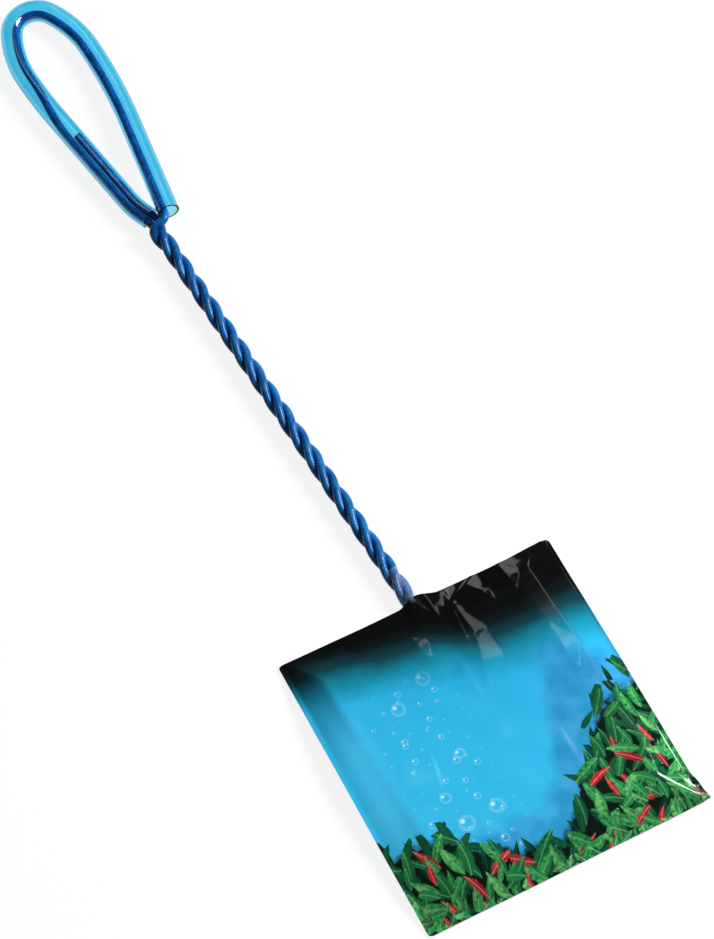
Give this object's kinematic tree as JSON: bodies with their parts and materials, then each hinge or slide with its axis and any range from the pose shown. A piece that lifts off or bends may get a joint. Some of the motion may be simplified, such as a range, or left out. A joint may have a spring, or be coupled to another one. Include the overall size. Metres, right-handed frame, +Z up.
{
  "type": "aquarium fish net",
  "caption": "Hand net for an aquarium: twisted coated-wire handle, hanging bow in a vinyl tube, hooped mesh pocket folded flat, and a film bag that pulls off the net.",
  "frame": {"origin": "middle of the back face of the film bag, the face that it lies on", "axes": "+Y from the bag towards the handle's bow, +Z up from the face that it lies on, +X to the right"},
  "size_m": [0.0956, 0.3421, 0.0113],
  "materials": {
    "wire_coat": "blue plastic coat, satin gloss",
    "wire_core": "drawn steel wire",
    "grip_vinyl": "translucent blue soft vinyl, glossy",
    "binding": "woven blue binding tape",
    "mesh": "blue nylon mesh",
    "thread": "blue sewing thread",
    "band_film": "clear film, glossy",
    "front_film": "printed film, glossy, black to sky blue",
    "back_film": "clear film, glossy"
  },
  "bodies": {
    "net": {"hoop_coat": "wire_coat", "hoop_core": "wire_core", "stub_strand_coat": "wire_coat", "stub_strand_core": "wire_core", "left_strand_coat": "wire_coat", "left_strand_core": "wire_core", "right_strand_coat": "wire_coat", "right_strand_core": "wire_core", "bow_coat": "wire_coat", "bow_core": "wire_core", "grip_tube": "grip_vinyl", "hoop_binding": "binding", "upper_mesh": "mesh", "lower_mesh": "mesh", "pocket_seam": "binding", "hem_stitches": "thread", "handle_band": "band_film"},
    "bag": {"bag_front": "front_film", "bag_back": "back_film"}
  },
  "joints": [
    {"name": "bag_slide", "type": "slide", "parent": "net", "child": "bag", "axis": [0, -1, 0], "range_m": [0, 0.12]}
  ]
}
